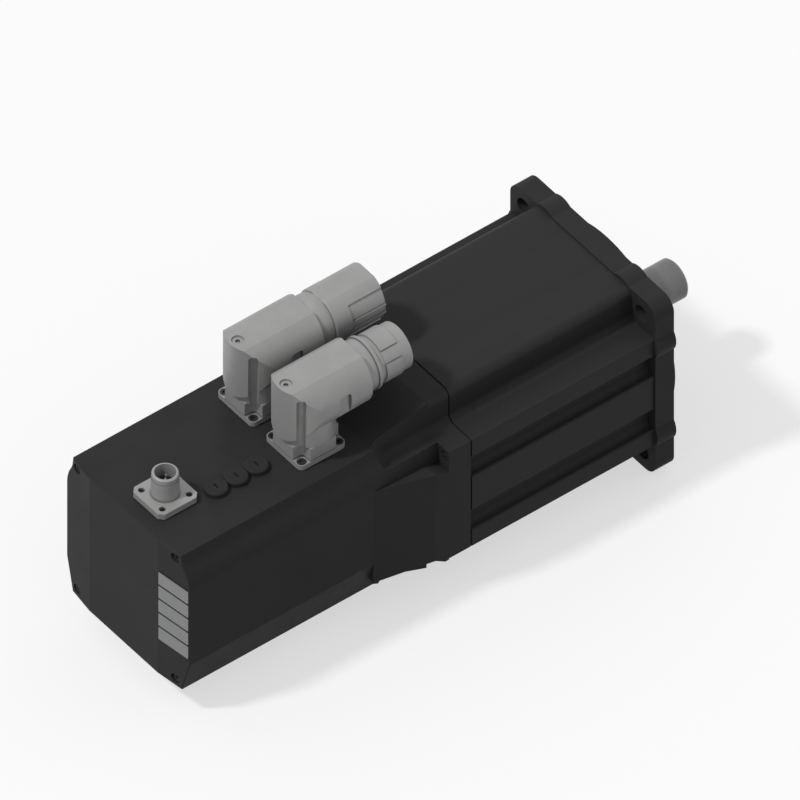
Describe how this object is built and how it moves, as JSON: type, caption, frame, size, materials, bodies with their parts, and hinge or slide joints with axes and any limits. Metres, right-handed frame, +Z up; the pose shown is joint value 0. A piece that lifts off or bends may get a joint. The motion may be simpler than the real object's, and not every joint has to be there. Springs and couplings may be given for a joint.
{
  "type": "integrated servo motor",
  "caption": "Brushless servo motor with its drive in a cast box behind it, square mounting flange, plain shaft and swivelling right-angle connectors.",
  "frame": {"origin": "centre of the flange's front mounting face, on the shaft axis", "axes": "+X along the shaft towards its free end, +Z up towards the connectors"},
  "size_m": [0.2972, 0.1032, 0.138],
  "materials": {
    "shell_black": "black paint, fine satin texture",
    "cover_black": "black paint, satin",
    "bars_grey": "grey diffusing plastic",
    "shaft_steel": "ground steel",
    "dark_steel": "black oxide",
    "bright_steel": "zinc plated",
    "lamination_steel": "laminated electrical steel",
    "magnet_metal": "nickel plated magnets",
    "copper": "enamelled copper wire",
    "bare_aluminium": "machined aluminium",
    "seal_rubber": "matte black rubber",
    "lead_rubber": "insulated leads",
    "board_green": "solder mask",
    "encoder_metal": "machined hub with a bright disc",
    "module_black": "moulded plastic",
    "capacitor_skin": "sleeved can",
    "connector_metal": "satin nickel plating on a casting",
    "insert_black": "moulded insulator",
    "pin_brass": "gold flashed"
  },
  "bodies": {
    "housing": {"bearing_retainer": "bare_aluminium", "bell_screws": "dark_steel", "board_posts": "bare_aluminium", "board_screws": "dark_steel", "capacitors": "capacitor_skin", "connector_gaskets": "seal_rubber", "connector_screws": "bright_steel", "control_board": "board_green", "drive_housing": "shell_black", "ear_screws": "dark_steel", "encoder_board": "board_green", "encoder_posts": "bare_aluminium", "encoder_screws": "dark_steel", "front_bearing_outer_race": "bright_steel", "housing_gasket": "seal_rubber", "io_insert": "insert_black", "io_pins": "pin_brass", "io_screws": "dark_steel", "io_shell": "connector_metal", "motor_leads": "lead_rubber", "mounting_flange": "shell_black", "power_base": "connector_metal", "power_board": "board_green", "power_module": "module_black", "power_terminal": "module_black", "rear_bearing_outer_race": "bright_steel", "rear_cover": "cover_black", "rear_cover_screws": "dark_steel", "rear_cover_seal": "seal_rubber", "rear_end_bell": "bare_aluminium", "retainer_screws": "dark_steel", "service_caps": "connector_metal", "shaft_seal": "seal_rubber", "signal_base": "connector_metal", "stator_coils": "copper", "stator_core": "lamination_steel", "stator_housing": "shell_black", "stator_tie_screws": "dark_steel", "status_bars": "bars_grey", "wave_spring": "dark_steel"},
    "rotor": {"motor_shaft": "shaft_steel", "front_bearing_inner_race": "bright_steel", "rear_bearing_inner_race": "bright_steel", "rotor_core": "lamination_steel", "rotor_magnets": "magnet_metal", "encoder_wheel": "encoder_metal"},
    "front_ball_cage": {"front_bearing_cage": "bright_steel"},
    "rear_ball_cage": {"rear_bearing_cage": "bright_steel"},
    "power_arm": {"power_elbow": "connector_metal", "power_clip": "bright_steel", "power_insert": "insert_black", "power_pins": "pin_brass", "power_elbow_screw": "bright_steel"},
    "power_ring": {"power_nut": "connector_metal"},
    "signal_arm": {"signal_elbow": "connector_metal", "signal_clip": "bright_steel", "signal_insert": "insert_black", "signal_pins": "pin_brass", "signal_elbow_screw": "bright_steel"},
    "signal_ring": {"signal_sleeve": "connector_metal"}
  },
  "joints": [
    {"name": "shaft_spin", "type": "hinge", "parent": "housing", "child": "rotor", "pos_m": [0, 0, 0], "axis": [1, 0, 0], "continuous": true},
    {"name": "front_cage_spin", "type": "hinge", "parent": "housing", "child": "front_ball_cage", "pos_m": [-0.0125, 0, 0], "axis": [1, 0, 0], "continuous": true},
    {"name": "rear_cage_spin", "type": "hinge", "parent": "housing", "child": "rear_ball_cage", "pos_m": [-0.107, 0, 0], "axis": [1, 0, 0], "continuous": true},
    {"name": "power_swivel", "type": "hinge", "parent": "housing", "child": "power_arm", "pos_m": [-0.172, 0.0166, 0.054], "axis": [0, 0, 1], "range_deg": [0, 180]},
    {"name": "power_nut_turn", "type": "hinge", "parent": "power_arm", "child": "power_ring", "pos_m": [-0.126, 0.0166, 0.073], "axis": [1, 0, 0], "continuous": true},
    {"name": "signal_swivel", "type": "hinge", "parent": "housing", "child": "signal_arm", "pos_m": [-0.172, -0.0166, 0.054], "axis": [0, 0, 1], "range_deg": [-180, 0]},
    {"name": "signal_sleeve_turn", "type": "hinge", "parent": "signal_arm", "child": "signal_ring", "pos_m": [-0.13, -0.0166, 0.073], "axis": [1, 0, 0], "range_deg": [0, 40]}
  ],
  "couplings": [
    {"joint": "front_cage_spin", "follows": "shaft_spin", "ratio": 0.38149},
    {"joint": "rear_cage_spin", "follows": "shaft_spin", "ratio": 0.381}
  ]
}
